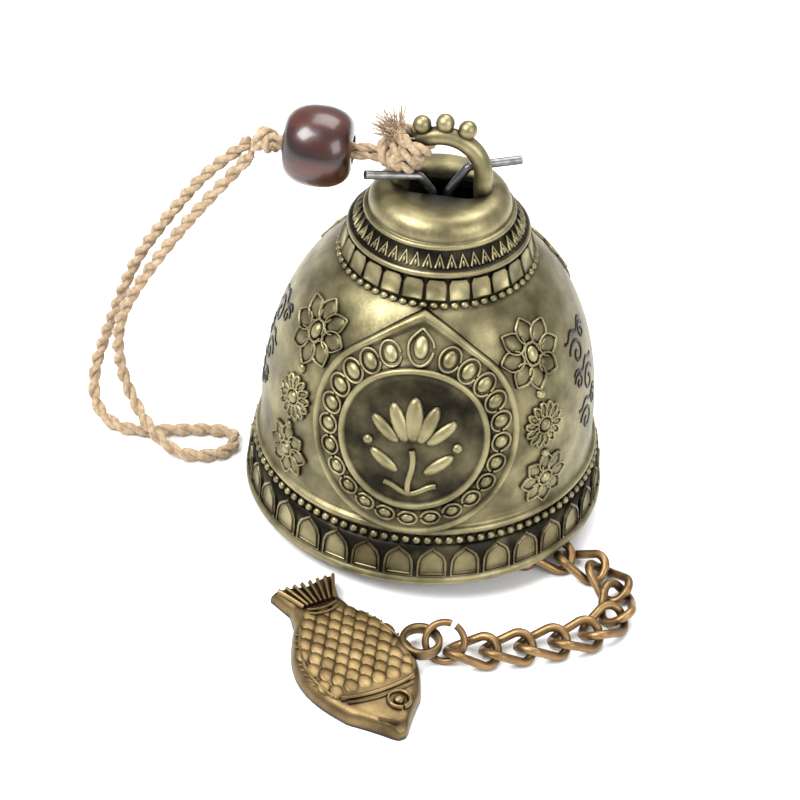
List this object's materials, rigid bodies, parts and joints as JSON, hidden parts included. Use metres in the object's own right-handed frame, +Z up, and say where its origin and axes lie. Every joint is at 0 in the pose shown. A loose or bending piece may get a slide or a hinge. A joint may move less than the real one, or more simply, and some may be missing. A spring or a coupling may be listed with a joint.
{
  "type": "temple bell",
  "caption": "Small cast temple bell with a half-round handle, a hanging clapper, a chain run out under the rim to a flat fish pendant, and a jute hand loop with a wooden bead.",
  "frame": {"origin": "on the floor straight under the middle of the bell's rim", "axes": "+Z up, +X to the right along the handle, -Y towards the front medallion, so +Y is to the back"},
  "size_m": [0.0818, 0.076, 0.0604],
  "materials": {
    "antique_brass": "satin, darkened in the recesses",
    "dull_steel": "dull",
    "antique_bronze": "satin, darkened in the recesses",
    "jute": "fuzzy, twisted",
    "dark_red_wood": "glossy"
  },
  "bodies": {
    "bell": {"bell_casting": "antique_brass"},
    "hanger": {"hanger_wire": "dull_steel"},
    "clapper": {"clapper_rod": "dull_steel", "clapper_ball": "antique_bronze"},
    "chain_link_01": {"chain_link_01": "antique_bronze"},
    "chain_link_02": {"chain_link_02": "antique_bronze"},
    "chain_link_03": {"chain_link_03": "antique_bronze"},
    "chain_link_04": {"chain_link_04": "antique_bronze"},
    "chain_link_05": {"chain_link_05": "antique_bronze"},
    "chain_link_06": {"chain_link_06": "antique_bronze"},
    "chain_link_07": {"chain_link_07": "antique_bronze"},
    "chain_link_08": {"chain_link_08": "antique_bronze"},
    "chain_link_09": {"chain_link_09": "antique_bronze"},
    "chain_link_10": {"chain_link_10": "antique_bronze"},
    "chain_link_11": {"chain_link_11": "antique_bronze"},
    "chain_link_12": {"chain_link_12": "antique_bronze"},
    "chain_link_13": {"chain_link_13": "antique_bronze"},
    "chain_link_14": {"chain_link_14": "antique_bronze"},
    "chain_link_15": {"chain_link_15": "antique_bronze"},
    "chain_link_16": {"chain_link_16": "antique_bronze"},
    "chain_link_17": {"chain_link_17": "antique_bronze"},
    "ring": {"jump_ring": "antique_bronze"},
    "fish": {"fish_pendant": "antique_bronze"},
    "cord_end": {"cord_hitch": "jute", "cord_tail_tuft": "jute", "cord_neck": "jute", "cord_knot": "jute"},
    "bead": {"wood_bead": "dark_red_wood"},
    "hand_loop": {"cord_loop": "jute"}
  },
  "joints": [
    {"name": "hanger_rock", "type": "hinge", "parent": "bell", "child": "hanger", "pos_m": [-0.00309, 0.00201, 0.04978], "axis": [-0.4226, 0.9063, 0], "range_deg": [-1.5, 0.9]},
    {"name": "clapper_swing", "type": "hinge", "parent": "hanger", "child": "clapper", "pos_m": [-0.00599, 0.00065, 0.02231], "axis": [0.9063, 0.4226, 0], "range_deg": [-58, 48]},
    {"name": "link_01_turn", "type": "hinge", "parent": "bell", "child": "chain_link_01", "pos_m": [-0.00019, 0.00336, 0.02321], "axis": [0, 0, 1], "range_deg": [0, 2]},
    {"name": "link_02_turn", "type": "hinge", "parent": "chain_link_01", "child": "chain_link_02", "pos_m": [0.0001, 0.00256, 0.01838], "axis": [0, 0, 1], "range_deg": [0, 2]},
    {"name": "link_03_turn", "type": "hinge", "parent": "chain_link_02", "child": "chain_link_03", "pos_m": [0.00056, 0.00129, 0.01367], "axis": [0, 0, 1], "range_deg": [0, 2]},
    {"name": "link_04_turn", "type": "hinge", "parent": "chain_link_03", "child": "chain_link_04", "pos_m": [0.0013, -0.00073, 0.00927], "axis": [0, 0, 1], "range_deg": [0, 2]},
    {"name": "link_05_turn", "type": "hinge", "parent": "chain_link_04", "child": "chain_link_05", "pos_m": [0.00258, -0.00361, 0.00552], "axis": [0, 0, 1], "range_deg": [0, 2]},
    {"name": "link_06_turn", "type": "hinge", "parent": "chain_link_05", "child": "chain_link_06", "pos_m": [0.00451, -0.00724, 0.00285], "axis": [0, 0, 1], "range_deg": [0, 2]},
    {"name": "link_07_turn", "type": "hinge", "parent": "chain_link_06", "child": "chain_link_07", "pos_m": [0.00755, -0.01086, 0.00158], "axis": [0, 0, 1], "range_deg": [0, 2]},
    {"name": "link_08_turn", "type": "hinge", "parent": "chain_link_07", "child": "chain_link_08", "pos_m": [0.01196, -0.01301, 0.00158], "axis": [0, 0, 1], "range_deg": [0, 2]},
    {"name": "link_09_turn", "type": "hinge", "parent": "chain_link_08", "child": "chain_link_09", "pos_m": [0.01686, -0.01301, 0.00158], "axis": [0, 0, 1], "range_deg": [0, 2]},
    {"name": "link_10_turn", "type": "hinge", "parent": "chain_link_09", "child": "chain_link_10", "pos_m": [0.02173, -0.0125, 0.00158], "axis": [0, 0, 1], "range_deg": [0, 8]},
    {"name": "link_11_turn", "type": "hinge", "parent": "chain_link_10", "child": "chain_link_11", "pos_m": [0.02648, -0.01368, 0.00158], "axis": [0, 0, 1], "range_deg": [0, 8]},
    {"name": "link_12_turn", "type": "hinge", "parent": "chain_link_11", "child": "chain_link_12", "pos_m": [0.02976, -0.01732, 0.00158], "axis": [0, 0, 1], "range_deg": [0, 8]},
    {"name": "link_13_turn", "type": "hinge", "parent": "chain_link_12", "child": "chain_link_13", "pos_m": [0.02993, -0.02222, 0.00158], "axis": [0, 0, 1], "range_deg": [0, 8]},
    {"name": "link_14_turn", "type": "hinge", "parent": "chain_link_13", "child": "chain_link_14", "pos_m": [0.02705, -0.02618, 0.00158], "axis": [0, 0, 1], "range_deg": [0, 8]},
    {"name": "link_15_turn", "type": "hinge", "parent": "chain_link_14", "child": "chain_link_15", "pos_m": [0.02294, -0.02885, 0.00158], "axis": [0, 0, 1], "range_deg": [0, 8]},
    {"name": "link_16_turn", "type": "hinge", "parent": "chain_link_15", "child": "chain_link_16", "pos_m": [0.01854, -0.031, 0.00158], "axis": [0, 0, 1], "range_deg": [0, 8]},
    {"name": "link_17_turn", "type": "hinge", "parent": "chain_link_16", "child": "chain_link_17", "pos_m": [0.01406, -0.03299, 0.00158], "axis": [0, 0, 1], "range_deg": [0, 8]},
    {"name": "ring_turn", "type": "hinge", "parent": "chain_link_17", "child": "ring", "pos_m": [0.00935, -0.03435, 0.00158], "axis": [0, 0, 1], "range_deg": [0, 10]},
    {"name": "fish_turn", "type": "hinge", "parent": "ring", "child": "fish", "pos_m": [0.00479, -0.03434, 0], "axis": [0, 0, 1], "range_deg": [0, 25]},
    {"name": "cord_turn_on_handle", "type": "hinge", "parent": "bell", "child": "cord_end", "pos_m": [-0.00806, 0.0022, 0.05426], "axis": [-0.4432, -0.0369, -0.8956], "range_deg": [-12, 8]},
    {"name": "bead_spin", "type": "hinge", "parent": "cord_end", "child": "bead", "pos_m": [-0.01968, 0.00212, 0.05236], "axis": [-0.9979, -0.0172, -0.0631], "continuous": true},
    {"name": "hand_loop_lift", "type": "hinge", "parent": "cord_end", "child": "hand_loop", "pos_m": [-0.0269, 0.002, 0.0519], "axis": [0, 1, 0], "range_deg": [0, 95]}
  ]
}
